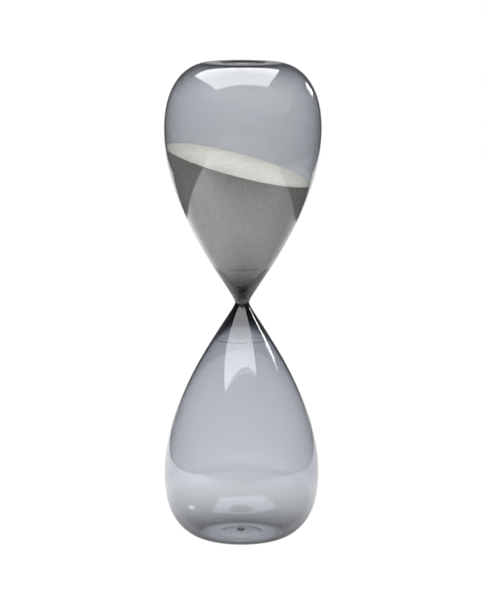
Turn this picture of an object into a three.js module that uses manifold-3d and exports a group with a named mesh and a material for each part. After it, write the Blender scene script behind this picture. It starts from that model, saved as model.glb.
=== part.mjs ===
// A frameless hourglass. Two blown bulbs of smoked glass are fused to a thick-walled throat. Sand goes in
// through a hole in the lower foot, which a bead of glass then seals, and here it rests in the upper bulb.
// Millimetres, +Z up, origin at the centre of the flat ring that the hourglass stands on.
import * as THREE from "three";
import { mergeVertices } from "three/addons/utils/BufferGeometryUtils.js";
import Module from "manifold-3d";

const wasm = await Module();
wasm.setup();

// Driving dimensions. Both bulbs are alike, so a height along a bulb is counted from that bulb's own end.
const HEIGHT = 250; // from the foot ring to the crown ring
const BELLY_RADIUS = 40.8; // a bulb's widest outside radius
const BELLY_HEIGHT = 33.9; // where it is that wide
const FOOT_RADIUS = 20; // outer edge of the flat ring at a bulb's end
const DIMPLE_RADIUS = 13.5; // inner edge of that ring
const DIMPLE_RISE = 2; // how far the dimple inside the ring is pushed in
const DIMPLE_LEVEL = 9.5; // how far out its curve's two handles are, which keeps its middle nearly level
const WAIST_RADIUS = 3.7; // outside, half way up the hourglass

// How the outside bends: the lengths of its curves' handles.
const FOOT_HANDLE = 0.5; // level, leaving the foot ring
const SHOULDER_HANDLE = 32; // upright, below the belly
const CONE_HANDLE = 44.2; // upright, above the belly
const WAIST_HANDLE = 4.8; // upright, at the waist

// The glass.
const FLOOR = 1.1; // its thickness at a bulb's end
const FLOOR_REACH = 20; // the height at which it has thinned to the wall
const WALL = 0.9; // its thickness at the belly
const FUNNEL_WALL = 1.3; // where the funnel begins
const THICKENING = 5; // the power by which the wall thickens from belly to funnel, so mostly near the funnel
const FUNNEL_HEIGHT = 105; // where the inside leaves the wall to close in on the bore
const FUNNEL_HANDLE = 3; // along the wall, where the funnel begins
const FUNNEL_ROUNDING = 3.5; // level, at the bore
const BORE_RADIUS = 0.9; // the hole that the sand runs through
const BORE_HALF_LENGTH = 7.2;
const JOINT_HEIGHT = 106; // where a bulb is fused to the throat
const FILL_HOLE_RADIUS = 2.2;
const SEAL_BULGE = 1.1; // of the glass bead, past the wall on either side
const SEAL_SHOULDER = 0.8; // how much of its radius the bead stays nearly flat over

// The sand.
const SAND_GAP = 0.3; // between the sand and the glass
const SAND_LEVEL = 196.6; // its surface on the axis
const SAND_LEAN = 14.4; // degrees, down towards +X
const SAND_TIP = 2.45; // degrees, down towards -Y

// How finely the curves are cut up.
const SEGMENTS = 36; // around the axis
const SHOULDER_STEPS = 8;
const CONE_STEPS = 16;
const FUNNEL_STEPS = 7;
const DIMPLE_STEPS = 5;
const SEAL_STEPS = 3;
const SHORTEST_EDGE = 0.05;

const WAIST = HEIGHT / 2;
const BORE_END = WAIST - BORE_HALF_LENGTH; // where the funnel meets the bore

const glass = new THREE.MeshStandardMaterial({
  name: "smoked_glass",
  color: 0x6f737a,
  roughness: 0.03,
  metalness: 0,
  transparent: true,
  opacity: 0.35,
});
const whiteSand = new THREE.MeshStandardMaterial({
  name: "white_sand",
  color: 0xe4e3dc,
  roughness: 0.95,
  metalness: 0,
});

// A point of an outline: x is its radius, and y its height along the bulb.
const at = (radius, height) => new THREE.Vector2(radius, height);

// The points of a cubic curve between two points, each with its handle.
function curve(from, fromHandle, toHandle, to, steps) {
  return new THREE.CubicBezierCurve(from, fromHandle, toHandle, to).getPoints(steps);
}

// A bulb's outside, from the foot ring's outer edge up to the waist.
function outside() {
  const foot = at(FOOT_RADIUS, 0);
  const belly = at(BELLY_RADIUS, BELLY_HEIGHT);
  const waist = at(WAIST_RADIUS, WAIST);
  const aboveFoot = at(FOOT_RADIUS + FOOT_HANDLE, 0);
  const belowBelly = at(BELLY_RADIUS, BELLY_HEIGHT - SHOULDER_HANDLE);
  const aboveBelly = at(BELLY_RADIUS, BELLY_HEIGHT + CONE_HANDLE);
  const belowWaist = at(WAIST_RADIUS, WAIST - WAIST_HANDLE);
  const shoulder = curve(foot, aboveFoot, belowBelly, belly, SHOULDER_STEPS);
  const cone = curve(belly, aboveBelly, belowWaist, waist, CONE_STEPS);
  return [...shoulder, ...cone.slice(1)];
}

// A rising outline moved towards the axis, square to itself, by a depth that depends on the height.
function movedIn(outline, depthAt) {
  return outline.map((point, i) => {
    const before = outline[Math.max(i - 1, 0)];
    const after = outline[Math.min(i + 1, outline.length - 1)];
    const along = after.clone().sub(before).normalize();
    const inwards = at(-along.y, along.x);
    return point.clone().addScaledVector(inwards, depthAt(point.y));
  });
}

// A rising outline's radius at a height.
function radiusAt(outline, height) {
  const next = Math.max(outline.findIndex((point) => point.y >= height), 1);
  const [low, high] = [outline[next - 1], outline[next]];
  return THREE.MathUtils.mapLinear(height, low.y, high.y, low.x, high.x);
}

// The part of a rising outline between two heights, cut level at both.
function between(outline, low, high) {
  const kept = outline.filter((point) => point.y > low + SHORTEST_EDGE && point.y < high - SHORTEST_EDGE);
  return [at(radiusAt(outline, low), low), ...kept, at(radiusAt(outline, high), high)];
}

// How thick the glass is: thinnest at the belly, a little thicker at the foot, and thickest at the funnel.
function wallAt(height) {
  const footShare = 1 - THREE.MathUtils.smoothstep(height, 0, FLOOR_REACH);
  const pastBelly = Math.max(height - BELLY_HEIGHT, 0) / (FUNNEL_HEIGHT - BELLY_HEIGHT);
  return WALL + (FLOOR - WALL) * footShare + (FUNNEL_WALL - WALL) * pastBelly ** THICKENING;
}

// A bulb's inside, from the floor's outer edge up to the bore.
function inside() {
  const wall = between(movedIn(outside(), wallAt), FLOOR, FUNNEL_HEIGHT);
  const [before, start] = wall.slice(-2);
  const along = start.clone().sub(before).setLength(FUNNEL_HANDLE);
  const bore = at(BORE_RADIUS, BORE_END);
  const beforeBore = at(BORE_RADIUS + FUNNEL_ROUNDING, BORE_END);
  const funnel = curve(start, start.clone().add(along), beforeBore, bore, FUNNEL_STEPS);
  return [...wall, ...funnel.slice(1)];
}

// The dimple in a bulb's end, outwards from a radius, where the ring around it is at a given height.
function dimple(fromRadius, ringHeight) {
  const middle = at(0, ringHeight + DIMPLE_RISE);
  const edge = at(DIMPLE_RADIUS, ringHeight);
  const beyondMiddle = at(DIMPLE_LEVEL, middle.y);
  const beforeEdge = at(DIMPLE_LEVEL, edge.y);
  const whole = curve(middle, beyondMiddle, beforeEdge, edge, DIMPLE_STEPS);
  const next = whole.findIndex((point) => point.x > fromRadius);
  const [near, far] = [whole[next - 1], whole[next]];
  const start = near.clone().lerp(far, (fromRadius - near.x) / (far.x - near.x));
  return [start, ...whole.slice(next)];
}

// A solid of revolution about +Z from an outline.
function turned(outline) {
  return new THREE.LatheGeometry(outline, SEGMENTS).rotateX(Math.PI / 2);
}

// One blown bulb on its foot ring, open where the throat is fused on, and at the hole in its foot, if any.
function bulbGeometry(holeRadius) {
  const outline = [
    ...dimple(holeRadius, 0),
    ...between(outside(), 0, JOINT_HEIGHT),
    ...between(inside(), FLOOR, JOINT_HEIGHT).reverse(),
    ...dimple(holeRadius, FLOOR).reverse(),
  ];
  if (holeRadius > 0) outline.push(outline[0].clone());
  return turned(outline);
}

// The thick glass between the bulbs, centred on the waist: a funnel at each end of a fine bore.
function throatGeometry() {
  const below = (point) => at(point.x, point.y - WAIST);
  const above = (point) => at(point.x, WAIST - point.y);
  const skin = between(outside(), JOINT_HEIGHT, WAIST);
  const funnel = between(inside(), JOINT_HEIGHT, BORE_END);
  const outline = [
    ...skin.map(below),
    ...skin.slice(0, -1).map(above).reverse(),
    ...funnel.map(above),
    ...funnel.map(below).reverse(),
  ];
  outline.push(outline[0].clone());
  return turned(outline);
}

// The bead that closes the hole in the foot, bulging past the wall on both sides.
function sealGeometry() {
  const dome = (edge, bulge) => {
    const shoulder = at(FILL_HOLE_RADIUS * SEAL_SHOULDER, edge.y + bulge);
    const middle = at(0, edge.y + bulge);
    return new THREE.QuadraticBezierCurve(edge, shoulder, middle).getPoints(SEAL_STEPS);
  };
  const [lowEdge] = dimple(FILL_HOLE_RADIUS, 0);
  const [highEdge] = dimple(FILL_HOLE_RADIUS, FLOOR);
  return turned([...dome(lowEdge, -SEAL_BULGE).reverse(), ...dome(highEdge, SEAL_BULGE)]);
}

// A closed geometry as a solid that can be cut.
function solidOf(geometry) {
  const bare = geometry.clone();
  bare.deleteAttribute("normal");
  bare.deleteAttribute("uv");
  const merged = mergeVertices(bare);
  const vertProperties = merged.attributes.position.array;
  const triVerts = new Uint32Array(merged.index.array);
  return new wasm.Manifold(new wasm.Mesh({ numProp: 3, vertProperties, triVerts }));
}

function geometryOf(solid) {
  const { vertProperties, triVerts } = solid.getMesh();
  const geometry = new THREE.BufferGeometry();
  geometry.setAttribute("position", new THREE.BufferAttribute(vertProperties, 3));
  geometry.setIndex(new THREE.BufferAttribute(triVerts, 1));
  geometry.computeVertexNormals();
  return geometry;
}

// The sand: all that the upper bulb and the bore can hold, cut off at the leaning surface.
function sandGeometry() {
  const boreFill = BORE_RADIUS - SAND_GAP;
  const brimFull = movedIn(inside(), () => SAND_GAP);
  const funnelEnd = brimFull.at(-1).y;
  const outline = [
    at(0, WAIST + BORE_HALF_LENGTH),
    at(boreFill, WAIST + BORE_HALF_LENGTH),
    at(boreFill, funnelEnd),
    ...brimFull.reverse(),
    at(0, FLOOR + SAND_GAP),
  ];
  const upright = outline.map((point) => at(point.x, HEIGHT - point.y));
  const size = 4 * BELLY_RADIUS;
  const kept = new THREE.BoxGeometry(size, size, size).translate(0, 0, -size / 2);
  kept.rotateX(THREE.MathUtils.degToRad(SAND_TIP));
  kept.rotateY(THREE.MathUtils.degToRad(SAND_LEAN));
  kept.translate(0, 0, SAND_LEVEL);
  return geometryOf(solidOf(turned(upright)).intersect(solidOf(kept)));
}

function piece(name, geometry, material, height) {
  const mesh = new THREE.Mesh(geometry, material);
  mesh.name = name;
  mesh.position.z = height;
  return mesh;
}

const upperBulb = piece("upper_bulb", bulbGeometry(0), glass, HEIGHT);
upperBulb.rotation.x = Math.PI; // the same bulb upside down, and without a hole

const hourglass = new THREE.Group();
hourglass.add(upperBulb);
hourglass.add(piece("throat", throatGeometry(), glass, WAIST));
hourglass.add(piece("lower_bulb", bulbGeometry(FILL_HOLE_RADIUS), glass, 0));
hourglass.add(piece("fill_seal", sealGeometry(), glass, 0));
hourglass.add(piece("sand", sandGeometry(), whiteSand, 0));

export default hourglass;
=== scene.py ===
"""The looks of a frameless hourglass: two smoked glass bulbs, the thick throat between them, and pale sand.

Outlines are in millimetres, as the CAD has them, and meshes and lights in metres. +Z is up, and the origin is
at the centre of the ring that the hourglass stands on.
"""

import math

import bpy
import numpy as np
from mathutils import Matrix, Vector


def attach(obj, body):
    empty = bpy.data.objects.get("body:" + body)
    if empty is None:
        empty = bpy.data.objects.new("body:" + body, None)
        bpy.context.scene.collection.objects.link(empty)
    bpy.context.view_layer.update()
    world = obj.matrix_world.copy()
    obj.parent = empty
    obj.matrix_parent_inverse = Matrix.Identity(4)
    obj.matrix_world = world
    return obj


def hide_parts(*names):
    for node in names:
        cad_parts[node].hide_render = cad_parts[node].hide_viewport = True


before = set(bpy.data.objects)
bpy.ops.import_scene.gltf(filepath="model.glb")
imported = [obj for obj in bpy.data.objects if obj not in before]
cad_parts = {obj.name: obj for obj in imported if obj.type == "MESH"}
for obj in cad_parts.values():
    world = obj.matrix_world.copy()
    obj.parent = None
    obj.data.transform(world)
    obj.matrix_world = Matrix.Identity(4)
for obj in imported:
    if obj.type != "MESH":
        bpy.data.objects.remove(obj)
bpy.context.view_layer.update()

MM = 0.001

# The outside. Both bulbs are alike, so a height along a bulb is counted from that bulb's own end.
HEIGHT = 250.0  # from the foot ring to the crown ring
BELLY_RADIUS = 40.8  # a bulb's widest
BELLY_HEIGHT = 33.9  # where it is that wide
FOOT_RADIUS = 20.0  # outer edge of the flat ring at a bulb's end
DIMPLE_RADIUS = 13.5  # inner edge of that ring
DIMPLE_RISE = 2.0  # how far the dimple inside the ring is pushed in
DIMPLE_LEVEL = 9.5  # how far out its curve's two handles are, which keeps its middle nearly level
WAIST_RADIUS = 3.7  # half way up the hourglass

# How the outside bends: the lengths of its curves' handles.
FOOT_HANDLE = 0.5  # level, leaving the foot ring
SHOULDER_HANDLE = 32.0  # upright, below the belly
CONE_HANDLE = 44.2  # upright, above the belly
WAIST_HANDLE = 4.8  # upright, at the waist

# The glass.
FLOOR = 1.1  # its thickness at a bulb's end
FLOOR_REACH = 20.0  # the height at which it has thinned to the wall
WALL = 0.9  # its thickness at the belly
FUNNEL_WALL = 1.3  # where the funnel begins
THICKENING = 5  # the power by which the wall thickens from belly to funnel, so mostly near the funnel
FUNNEL_HEIGHT = 105.0  # where the inside leaves the wall to close in on the bore
FUNNEL_HANDLE = 3.0  # along the wall, where the funnel begins
FUNNEL_ROUNDING = 3.5  # level, at the bore
BORE_RADIUS = 0.9  # the hole that the sand runs through
BORE_HALF_LENGTH = 7.2
JOINT_HEIGHT = 106.0  # where a bulb is fused to the throat
JOINT_SLOPE = 0.2  # how much lower the joint is on the inside, which makes it harder to see
JOINT_OVERLAP = 0.03  # between two fused pieces, so that no air shows between them
FILL_HOLE_RADIUS = 2.2
SEAL_BULGE = 1.1  # of the glass bead, past the wall on either side
ABSORPTION = (420, 400, 360)  # per metre, of red, green and blue: the smoke takes a little less of the blue

# The sand.
SAND_GAP = 0.05  # between the sand and the glass
SAND_LEVEL = 196.6  # its surface on the axis
SAND_FALL_X = 0.256  # how steeply the surface falls towards +X
SAND_RISE_Y = 0.043  # and rises towards +Y
SAND_RIPPLE = 0.35  # the height of its unevenness
SAND_SIDE_MARGIN = 4.0  # below the surface's lowest edge, where rings that follow the surface begin
RIPPLE_FADE = 8  # the power by which the ripples fade out, so only close to the glass

# How finely everything is cut up.
SEGMENTS = 192  # around the axis
SHORTEST_EDGE = 0.01
SHARPEST_SMOOTH = 35  # degrees: a sharper edge than this is not shaded smooth
SHOULDER_STEPS = 48
CONE_STEPS = 96
FUNNEL_STEPS = 24
DIMPLE_STEPS = 24
SEAL_STEPS = 10
SAND_TOP_ROWS = 60
SAND_SIDE_ROWS = 24

WAIST = HEIGHT / 2
BORE_END = WAIST - BORE_HALF_LENGTH

# How bright the lights and the set are. Brightness is radiance, where 1 shows as white.
# The table is a glowing sheet with painted light and shade: a painted pool of light in front of the
# hourglass, brighter to the left and fading behind it.
TABLE_PAINTED_LIGHT_AND_SHADOW = {
    "X": [(-0.3, 1.25), (0.3, 0.75)],
    "Y": [(-0.4, 0.5), (-0.18, 2.3), (-0.1, 2.3), (0.1, 1.2)],
    # Painted shadow of the hourglass around its foot: a dark ring just outside the foot ring and a lighter
    # painted patch of focused light under the foot itself, fading out by 0.12 m.
    "distance": [(0, 0.6), (0.017, 0.6), (0.023, 0.15), (0.035, 0.3), (0.06, 0.6), (0.12, 1)],
}
# The backdrop's glow is graded as painted light: brighter to the left and at mid height, fading dark towards
# its top.
BACKDROP_PAINTED_LIGHT = {
    "X": [(-0.3, 1.1), (0.3, 0.9)],
    "Z": [(0.02, 0.95), (0.12, 1.12), (0.17, 1.12), (0.46, 0.15)],
}
FLOOR_BRIGHTNESS = 1.04
ROOM_BRIGHTNESS = 0.15
OVERHEAD_BRIGHTNESS = 5.5
FRONT_BRIGHTNESS = 5.2
STRIP_BRIGHTNESS = 12.0
SAND_LIGHT_BRIGHTNESS = 3.1

# The set, in metres. Its level sheets lie just below the foot, one under another.
TABLE_LEVEL = -0.0005
SWEEP_LEVEL = -0.001
FLOOR_LEVEL = -0.002
TABLE_RIGHT = [(1.4, -3), (0.37, -0.22), (0.31, 0.07), (0.2, 0.6)]  # its edge, from front to back
TABLE_LEFT = [(-0.21, 0.6), (-0.3, 0.21), (-0.41, -0.22), (-1.6, -3)]  # and from back to front
SWEEP_FRONT = 0.6
BACKDROP_HALF_WIDTH = 0.45
BACKDROP_Y = 1.6
BACKDROP_TOP = 0.46
FLOOR_HALF_WIDTH = 9

# The camera.
CAMERA_PLACE = (0, -1.330, 0.357)  # metres
CAMERA_AIM = (0.00047, 0, 0.1249)  # metres
CAMERA_ROLL = 0.24  # degrees
LENS = 153.9
SENSOR_WIDTH = 36


def bezier(start, start_handle, end_handle, end, steps):
    """The points of a cubic curve, as rows of (radius, height)."""
    t = np.linspace(0, 1, steps + 1)[:, None]
    corners = [np.array(corner, float) for corner in (start, start_handle, end_handle, end)]
    shares = [(1 - t) ** 3, 3 * (1 - t) ** 2 * t, 3 * (1 - t) * t**2, t**3]
    return sum(share * corner for share, corner in zip(shares, corners))


def outside():
    """A bulb's outside, from the foot ring's outer edge up to the waist."""
    foot = (FOOT_RADIUS, 0)
    belly = (BELLY_RADIUS, BELLY_HEIGHT)
    waist = (WAIST_RADIUS, WAIST)
    above_foot = (FOOT_RADIUS + FOOT_HANDLE, 0)
    below_belly = (BELLY_RADIUS, BELLY_HEIGHT - SHOULDER_HANDLE)
    above_belly = (BELLY_RADIUS, BELLY_HEIGHT + CONE_HANDLE)
    below_waist = (WAIST_RADIUS, WAIST - WAIST_HANDLE)
    shoulder = bezier(foot, above_foot, below_belly, belly, SHOULDER_STEPS)
    cone = bezier(belly, above_belly, below_waist, waist, CONE_STEPS)
    return np.vstack([shoulder, cone[1:]])


def moved_in(outline, depth):
    """A rising outline moved towards the axis, square to itself."""
    along = np.gradient(outline, axis=0)
    along /= np.linalg.norm(along, axis=1)[:, None]
    inwards = np.column_stack([-along[:, 1], along[:, 0]])
    return outline + inwards * np.reshape(depth, (-1, 1))


def radius_at(outline, height):
    """A rising outline's radius at a height."""
    return np.interp(height, outline[:, 1], outline[:, 0])


def between(outline, low, high):
    """The part of a rising outline between two heights, cut level at both."""
    kept = outline[(outline[:, 1] > low + SHORTEST_EDGE) & (outline[:, 1] < high - SHORTEST_EDGE)]
    ends = [(radius_at(outline, height), height) for height in (low, high)]
    return np.vstack([ends[:1], kept, ends[1:]])


def turned_over(outline):
    """An outline as it is on the other bulb, in the order that keeps a rising outline rising."""
    return np.column_stack([outline[:, 0], HEIGHT - outline[:, 1]])[::-1]


def wall_at(height):
    """How thick the glass is: thinnest at the belly, a little thicker at the foot, thickest at the funnel."""
    foot_share = np.clip(height / FLOOR_REACH, 0, 1)
    foot_share = 1 - foot_share**2 * (3 - 2 * foot_share)
    past_belly = np.clip((height - BELLY_HEIGHT) / (FUNNEL_HEIGHT - BELLY_HEIGHT), 0, None)
    return WALL + (FLOOR - WALL) * foot_share + (FUNNEL_WALL - WALL) * past_belly**THICKENING


def inside():
    """A bulb's inside, from the floor's outer edge up to the bore."""
    skin = outside()
    wall = between(moved_in(skin, wall_at(skin[:, 1])), FLOOR, FUNNEL_HEIGHT)
    along = wall[-1] - wall[-2]
    along *= FUNNEL_HANDLE / np.linalg.norm(along)
    bore = (BORE_RADIUS, BORE_END)
    before_bore = (BORE_RADIUS + FUNNEL_ROUNDING, BORE_END)
    funnel = bezier(wall[-1], wall[-1] + along, before_bore, bore, FUNNEL_STEPS)
    return np.vstack([wall, funnel[1:]])


def dimple(from_radius, ring_height):
    """The dimple in a bulb's end, outwards from a radius."""
    middle = (0, ring_height + DIMPLE_RISE)
    edge = (DIMPLE_RADIUS, ring_height)
    beyond_middle = (DIMPLE_LEVEL, ring_height + DIMPLE_RISE)
    before_edge = (DIMPLE_LEVEL, ring_height)
    whole = bezier(middle, beyond_middle, before_edge, edge, DIMPLE_STEPS)
    start_height = np.interp(from_radius, whole[:, 0], whole[:, 1])
    return np.vstack([[(from_radius, start_height)], whole[whole[:, 0] > from_radius + SHORTEST_EDGE]])


def mesh_object(name, rings, closes):
    """A piece from rings of vertices, each an array of (x, y, z) in millimetres, or one vertex for a pole."""
    vertices = np.vstack(rings) * MM
    counts = [len(ring) for ring in rings]
    starts = np.cumsum([0, *counts[:-1]])
    around = np.arange(SEGMENTS)
    rows = [start + (around if count > 1 else 0 * around) for start, count in zip(starts, counts)]
    pairs = list(zip(rows, rows[1:]))
    if closes:
        pairs.append((rows[-1], rows[0]))
    faces = []
    for lower, upper in pairs:
        corners = np.column_stack([lower, np.roll(lower, -1), np.roll(upper, -1), upper])
        faces += [list(dict.fromkeys(face)) for face in corners.tolist()]
    mesh = bpy.data.meshes.new(name)
    mesh.from_pydata(vertices.tolist(), [], faces)
    mesh.shade_smooth()
    mesh.set_sharp_from_angle(angle=math.radians(SHARPEST_SMOOTH))
    piece = bpy.data.objects.new(name, mesh)
    bpy.context.scene.collection.objects.link(piece)
    return piece


def turned(name, outline, upside_down=False, closes=True):
    """A solid of revolution from an outline of (radius, height) that runs up the outside."""
    outline = np.array(outline)
    if upside_down:
        outline = turned_over(outline)
    angle = np.linspace(0, 2 * math.pi, SEGMENTS, endpoint=False)
    rings = []
    for radius, height in outline:
        if radius < 1e-6:
            rings.append(np.array([(0, 0, height)]))
        else:
            ring = (radius * np.cos(angle), radius * np.sin(angle), np.full(SEGMENTS, height))
            rings.append(np.column_stack(ring))
    return mesh_object(name, rings, closes)


def bulb(name, hole_radius, upside_down):
    """One blown bulb, open where the throat is fused on and at the hole in its foot, if it has one."""
    top = JOINT_HEIGHT + JOINT_OVERLAP
    outline = np.vstack([
        dimple(hole_radius, 0),
        between(outside(), 0, top),
        between(inside(), FLOOR, top - JOINT_SLOPE)[::-1],
        dimple(hole_radius, FLOOR)[::-1],
    ])
    return turned(name, outline, upside_down, closes=hole_radius > 0)


def throat(name):
    """The thick glass between the bulbs: a funnel at each end of a fine bore."""
    skin = between(outside(), JOINT_HEIGHT, WAIST)
    funnel = between(inside(), JOINT_HEIGHT - JOINT_SLOPE, BORE_END)
    outline = np.vstack([skin, turned_over(skin)[1:], turned_over(funnel)[::-1], funnel[::-1]])
    return turned(name, outline)


def seal(name):
    """The bead in the hole of the foot, bulging past the wall on both sides."""
    reach = FILL_HOLE_RADIUS + JOINT_OVERLAP
    low_edge = dimple(reach, 0)[0]
    high_edge = dimple(reach, FLOOR)[0]
    angle = np.linspace(0, math.pi / 2, SEAL_STEPS + 1)
    low = [(reach * math.sin(a), low_edge[1] - SEAL_BULGE * math.cos(a)) for a in angle]
    high = [(reach * math.cos(a), high_edge[1] + SEAL_BULGE * math.sin(a)) for a in angle]
    low[0] = (0, low[0][1])
    high[-1] = (0, high[-1][1])
    return turned(name, [*low, *high], closes=False)


def ripple(x, y):
    """Gentle unevenness of the sand's surface, in millimetres."""
    slow = np.sin(x * 0.16 + 1.3) * np.cos(y * 0.13 - 0.4)
    middling = np.sin(x * 0.31 - y * 0.22 + 2.1) * 0.5
    fine = np.sin(x * 0.9 + 0.7 * np.sin(y * 0.8)) * np.cos(y * 1.1 + x * 0.2) * 0.18
    return SAND_RIPPLE * (slow + middling + fine)


def sand_rim(wall, across, back):
    """Where the leaning surface meets the glass, as (radius, height) in each direction."""
    rim = np.empty((SEGMENTS, 2))
    for i in range(SEGMENTS):
        surface = SAND_LEVEL + wall[:, 0] * (SAND_RISE_Y * back[i] - SAND_FALL_X * across[i])
        clearance = wall[:, 1] - surface
        above = int(np.argmax(clearance > 0))
        share = -clearance[above - 1] / (clearance[above] - clearance[above - 1])
        rim[i] = wall[above - 1] + share * (wall[above] - wall[above - 1])
    return rim


def sand(name):
    """The sand that fills the upper bulb up to a leaning surface, with the thread of it in the bore."""
    stem = BORE_RADIUS - SAND_GAP
    wall = turned_over(moved_in(inside(), SAND_GAP))
    wall[0] = (stem, HEIGHT - BORE_END)
    angle = np.linspace(0, 2 * math.pi, SEGMENTS, endpoint=False)
    across, back = np.cos(angle), np.sin(angle)
    rim = sand_rim(wall, across, back)

    def ring(radius, height):
        return np.column_stack([radius * across, radius * back, height + 0 * across])

    rings = [np.array([(0, 0, BORE_END)]), ring(stem, BORE_END)]
    level_part = wall[wall[:, 1] < rim[:, 1].min() - SAND_SIDE_MARGIN]
    for radius, height in level_part:
        rings.append(ring(radius, height))
    low = level_part[-1][1]
    for row in range(1, SAND_SIDE_ROWS + 1):
        height = low + (rim[:, 1] - low) * row / SAND_SIDE_ROWS
        rings.append(ring(radius_at(wall, height), height))
    for row in range(SAND_TOP_ROWS - 1, 0, -1):
        radius = rim[:, 0] * row / SAND_TOP_ROWS
        x, y = radius * across, radius * back
        fade = 1 - (row / SAND_TOP_ROWS) ** RIPPLE_FADE
        height = SAND_LEVEL - SAND_FALL_X * x + SAND_RISE_Y * y + ripple(x, y) * fade
        rings.append(np.column_stack([x, y, height]))
    rings.append(np.array([(0, 0, SAND_LEVEL + float(ripple(0, 0)))]))
    return mesh_object(name, rings, closes=False)


def new_material(name):
    """A material with its node tree, its shader and its output."""
    material = bpy.data.materials.new(name)
    material.use_nodes = True
    nodes = material.node_tree.nodes
    return material, nodes, material.node_tree.links, nodes["Principled BSDF"], nodes["Material Output"]


def glass_material(name):
    """Smoked glass, a little wavy as blown glass is."""
    material, nodes, links, shader, output = new_material(name)
    shader.inputs["Base Color"].default_value = (1, 1, 1, 1)
    shader.inputs["Roughness"].default_value = 0
    shader.inputs["IOR"].default_value = 1.5
    shader.inputs["Transmission Weight"].default_value = 1
    densest = max(ABSORPTION)
    body = nodes.new("ShaderNodeVolumeAbsorption")
    body.inputs["Color"].default_value = (*(1 - part / densest for part in ABSORPTION), 1)
    body.inputs["Density"].default_value = densest
    links.new(body.outputs["Volume"], output.inputs["Volume"])
    place = nodes.new("ShaderNodeTexCoord")
    waves = nodes.new("ShaderNodeTexNoise")
    waves.inputs["Scale"].default_value = 38
    waves.inputs["Detail"].default_value = 1.5
    bump = nodes.new("ShaderNodeBump")
    bump.inputs["Strength"].default_value = 0.25
    bump.inputs["Distance"].default_value = 0.0005
    links.new(place.outputs["Object"], waves.inputs["Vector"])
    links.new(waves.outputs["Fac"], bump.inputs["Height"])
    links.new(bump.outputs["Normal"], shader.inputs["Normal"])
    return material


def sand_material(name):
    """Pale dry sand: fine grains of slightly different colours in a broad, faint mottle."""
    material, nodes, links, shader, _ = new_material(name)
    shader.inputs["Roughness"].default_value = 0.95
    shader.inputs["Specular IOR Level"].default_value = 0.2
    place = nodes.new("ShaderNodeTexCoord")
    grains = nodes.new("ShaderNodeTexVoronoi")
    grains.inputs["Scale"].default_value = 2200
    mottle = nodes.new("ShaderNodeTexNoise")
    mottle.inputs["Scale"].default_value = 220
    mottle.inputs["Detail"].default_value = 4
    grain_colour = nodes.new("ShaderNodeValToRGB")
    grain_colour.color_ramp.elements[0].color = (0.66, 0.65, 0.55, 1)
    grain_colour.color_ramp.elements[1].color = (0.90, 0.89, 0.78, 1)
    shade = nodes.new("ShaderNodeValToRGB")
    shade.color_ramp.elements[0].position = 0.35
    shade.color_ramp.elements[0].color = (0.93, 0.93, 0.93, 1)
    shade.color_ramp.elements[1].position = 0.65
    shade.color_ramp.elements[1].color = (1, 1, 1, 1)
    mixed = nodes.new("ShaderNodeMix")
    mixed.data_type = "RGBA"
    mixed.blend_type = "MULTIPLY"
    mixed.inputs["Factor"].default_value = 1
    bump = nodes.new("ShaderNodeBump")
    bump.inputs["Strength"].default_value = 0.8
    bump.inputs["Distance"].default_value = 0.0002
    separate = nodes.new("ShaderNodeSeparateColor")
    links.new(place.outputs["Object"], grains.inputs["Vector"])
    links.new(place.outputs["Object"], mottle.inputs["Vector"])
    links.new(grains.outputs["Color"], separate.inputs["Color"])
    links.new(separate.outputs["Red"], grain_colour.inputs["Fac"])
    links.new(mottle.outputs["Fac"], shade.inputs["Fac"])
    links.new(grain_colour.outputs["Color"], mixed.inputs["A"])
    links.new(shade.outputs["Color"], mixed.inputs["B"])
    links.new(mixed.outputs["Result"], shader.inputs["Base Color"])
    links.new(grains.outputs["Distance"], bump.inputs["Height"])
    links.new(bump.outputs["Normal"], shader.inputs["Normal"])
    return material


def glow_material(name, brightness):
    """A surface that is evenly bright."""
    material, nodes, links, shader, output = new_material(name)
    glow = nodes.new("ShaderNodeEmission")
    glow.inputs["Strength"].default_value = brightness
    links.new(glow.outputs["Emission"], output.inputs["Surface"])
    nodes.remove(shader)
    return material


def calculated(nodes, links, operation, first, second):
    """A calculation with two values in a node tree."""
    node = nodes.new("ShaderNodeMath")
    node.operation = operation
    links.new(first, node.inputs[0])
    links.new(second, node.inputs[1])
    return node.outputs["Value"]


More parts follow.
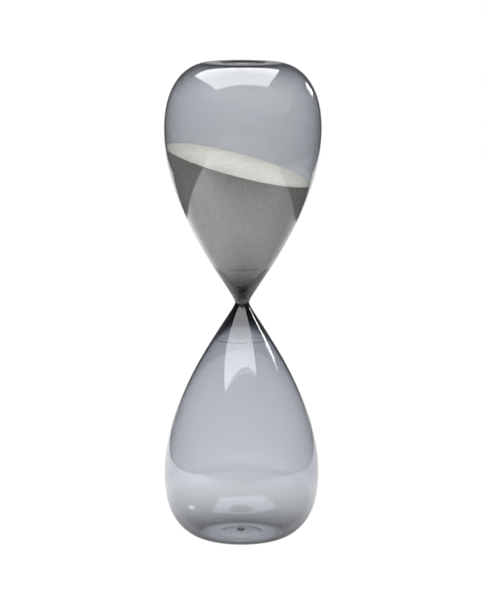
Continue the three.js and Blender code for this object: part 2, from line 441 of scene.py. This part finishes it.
def graded_glow_material(name, ramps):
    """A glow that shows as plain white to the camera, and whose brightness elsewhere is a product of ramps
    that paint light and shade onto the set.

    A ramp goes along X, Y, Z or the distance from the origin, and is a list of (place, value).
    """
    material = glow_material(name, 1)
    nodes, links = material.node_tree.nodes, material.node_tree.links
    place = nodes.new("ShaderNodeTexCoord")
    parts = nodes.new("ShaderNodeSeparateXYZ")
    distance = nodes.new("ShaderNodeVectorMath")
    distance.operation = "LENGTH"
    links.new(place.outputs["Object"], parts.inputs["Vector"])
    links.new(place.outputs["Object"], distance.inputs[0])
    sources = {"X": parts.outputs["X"], "Y": parts.outputs["Y"], "Z": parts.outputs["Z"]}
    sources["distance"] = distance.outputs["Value"]
    brightness = None
    for along, stops in ramps.items():
        start, end = stops[0][0], stops[-1][0]
        share = nodes.new("ShaderNodeMapRange")
        share.inputs["From Min"].default_value = start
        share.inputs["From Max"].default_value = end
        ramp = nodes.new("ShaderNodeValToRGB")
        elements = ramp.color_ramp.elements
        for _ in stops[2:]:
            elements.new(0.5)
        for element, (spot, value) in zip(elements, stops):
            element.position = (spot - start) / (end - start)
            element.color = (value, value, value, 1)
        links.new(sources[along], share.inputs["Value"])
        links.new(share.outputs["Result"], ramp.inputs["Fac"])
        if brightness is None:
            brightness = ramp.outputs["Color"]
        else:
            brightness = calculated(nodes, links, "MULTIPLY", brightness, ramp.outputs["Color"])
    path = nodes.new("ShaderNodeLightPath")
    brightness = calculated(nodes, links, "MAXIMUM", brightness, path.outputs["Is Camera Ray"])
    links.new(brightness, nodes["Emission"].inputs["Strength"])
    return material


def level_corners(half_width, front, back, level):
    """The corners of a level rectangle that is centred on X."""
    edges = [(-half_width, front), (half_width, front), (half_width, back), (-half_width, back)]
    return [(x, y, level) for x, y in edges]


def ground(name, corners, material):
    """A flat sheet of the set, which isn't part of the hourglass."""
    mesh = bpy.data.meshes.new(name)
    mesh.from_pydata(corners, [], [range(len(corners))])
    sheet = bpy.data.objects.new(name, mesh)
    mesh.materials.append(material)
    bpy.context.scene.collection.objects.link(sheet)
    return sheet


def softbox(name, centre, size, aim, brightness, turn=0.0, only=(), through_glass=False):
    """A rectangular light that faces a point.

    If pieces are given, only they are lit by it. Through glass, only they cast its shadows too.
    """
    light = bpy.data.lights.new(name, "AREA")
    light.shape = "RECTANGLE"
    light.size, light.size_y = size
    light.energy = brightness * math.pi * size[0] * size[1]
    lamp = bpy.data.objects.new(name, light)
    lamp.location = centre
    lamp.rotation_euler = (Vector(aim) - Vector(centre)).to_track_quat("-Z", "Y").to_euler()
    lamp.rotation_euler.rotate_axis("Z", turn)
    bpy.context.scene.collection.objects.link(lamp)
    if only:
        lit = bpy.data.collections.new(name + "_lit")
        for piece in only:
            lit.objects.link(piece)
        lamp.light_linking.receiver_collection = lit
        if through_glass:
            lamp.light_linking.blocker_collection = lit


smoked_glass = glass_material("smoked_glass")
pale_sand = sand_material("pale_sand")

upper_bulb = bulb("upper_bulb_glass", 0.0, upside_down=True)
lower_bulb = bulb("lower_bulb_glass", FILL_HOLE_RADIUS, upside_down=False)
throat_piece = throat("throat_glass")
seal_piece = seal("fill_seal_glass")
sand_piece = sand("sand_heap")

PIECES = [
    (upper_bulb, "upper_bulb", "glass", smoked_glass),
    (lower_bulb, "lower_bulb", "glass", smoked_glass),
    (throat_piece, "throat", "glass", smoked_glass),
    (seal_piece, "fill_seal", "glass", smoked_glass),
    (sand_piece, "sand", "sand", pale_sand),
]
for piece, node, slot, material in PIECES:
    piece.data.materials.append(material)
    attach(piece, "root")
    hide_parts(node)

table_corners = [(x, y, TABLE_LEVEL) for x, y in TABLE_RIGHT + TABLE_LEFT]
ground("table", table_corners, graded_glow_material("table", TABLE_PAINTED_LIGHT_AND_SHADOW))
pale = glow_material("pale", FLOOR_BRIGHTNESS)
ground("sweep", level_corners(BACKDROP_HALF_WIDTH, SWEEP_FRONT, BACKDROP_Y, SWEEP_LEVEL), pale)
backdrop_corners = [
    (-BACKDROP_HALF_WIDTH, BACKDROP_Y, SWEEP_LEVEL),
    (BACKDROP_HALF_WIDTH, BACKDROP_Y, SWEEP_LEVEL),
    (BACKDROP_HALF_WIDTH, BACKDROP_Y, BACKDROP_TOP),
    (-BACKDROP_HALF_WIDTH, BACKDROP_Y, BACKDROP_TOP),
]
ground("backdrop", backdrop_corners, graded_glow_material("backdrop", BACKDROP_PAINTED_LIGHT))
floor_corners = level_corners(FLOOR_HALF_WIDTH, -FLOOR_HALF_WIDTH, FLOOR_HALF_WIDTH, FLOOR_LEVEL)
floor = ground("floor", floor_corners, pale)
floor.visible_glossy = False
floor.visible_transmission = False
floor.visible_diffuse = False

# Each half of the hourglass has lights of its own, so that a highlight on one isn't repeated on the other.
low_glass = [lower_bulb, throat_piece, seal_piece]
high = [upper_bulb, sand_piece]
overhead = (-0.13, 0.29)
overhead_turn = math.radians(5.6)
softbox("overhead", (*overhead, 1.125), (1.2, 1.3), (*overhead, 0), OVERHEAD_BRIGHTNESS, overhead_turn, high)
front = (-0.137, -0.418)
front_turn = math.radians(7.3)
softbox("front", (*front, 1.125), (1.73, 1.133), (*front, 0), FRONT_BRIGHTNESS, front_turn, low_glass)
softbox("high_strip", (0.782, 1.038, 0.535), (0.16, 0.2), (0, 0, 0.24), STRIP_BRIGHTNESS, 0, [upper_bulb])
softbox("low_strip", (0.883, 0.469, 0.59), (0.2, 0.16), (0, 0, 0.1), STRIP_BRIGHTNESS, 0, low_glass)
softbox("sand_light", (-0.1, 0.1, 1.0), (0.8, 0.8), (0, 0, 0.2), SAND_LIGHT_BRIGHTNESS, 0, [sand_piece], True)

world = bpy.data.worlds.new("room")
bpy.context.scene.world = world
world.use_nodes = True
nodes, links = world.node_tree.nodes, world.node_tree.links
background = nodes["Background"]
background.inputs["Color"].default_value = (1, 1, 1, 1)
path = nodes.new("ShaderNodeLightPath")
strength = nodes.new("ShaderNodeMapRange")
strength.inputs["To Min"].default_value = ROOM_BRIGHTNESS
strength.inputs["To Max"].default_value = FLOOR_BRIGHTNESS
links.new(path.outputs["Is Camera Ray"], strength.inputs["Value"])
links.new(strength.outputs["Result"], background.inputs["Strength"])

camera_data = bpy.data.cameras.new("camera")
camera_data.lens = LENS
camera_data.sensor_width = SENSOR_WIDTH
camera = bpy.data.objects.new("camera", camera_data)
camera.location = CAMERA_PLACE
camera.rotation_euler = (Vector(CAMERA_AIM) - camera.location).to_track_quat("-Z", "Y").to_euler()
camera.rotation_euler.rotate_axis("Z", math.radians(CAMERA_ROLL))
bpy.context.scene.collection.objects.link(camera)
bpy.context.scene.camera = camera

bpy.context.scene.view_settings.view_transform = "Standard"

bpy.context.view_layer.update()
